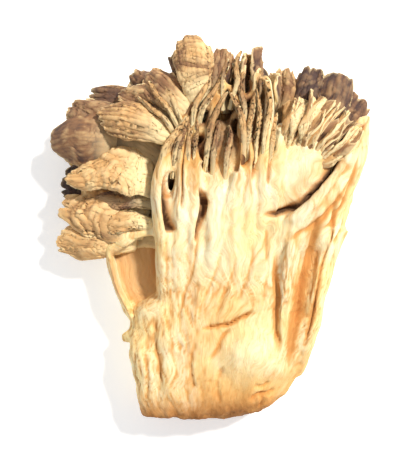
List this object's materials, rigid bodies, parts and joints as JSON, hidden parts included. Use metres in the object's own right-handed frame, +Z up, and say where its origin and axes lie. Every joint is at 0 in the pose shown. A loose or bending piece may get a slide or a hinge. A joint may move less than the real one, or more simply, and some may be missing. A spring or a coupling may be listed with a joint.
{
  "type": "dried maitake mushroom cluster",
  "caption": "Dried maitake mushroom cluster with a broad pale fibrous stem dividing into flat strands and curled brown fronds, lying on its back.",
  "frame": {"origin": "middle of the bounding box's underside, on the surface that the cluster lies on", "axes": "+Y from the cut foot of the stem to the crown of fronds, +Z up from the surface, +X to the right with the foot towards the viewer"},
  "size_m": [0.072, 0.084, 0.022],
  "materials": {
    "stem_flesh": "dry, fibrous and matte, cream with orange-tan creases",
    "frond_skin": "dry, wrinkled and matte, brown caps with pale rims"
  },
  "bodies": {
    "root": {"maitake_cluster": "stem_flesh"}
  },
  "joints": []
}
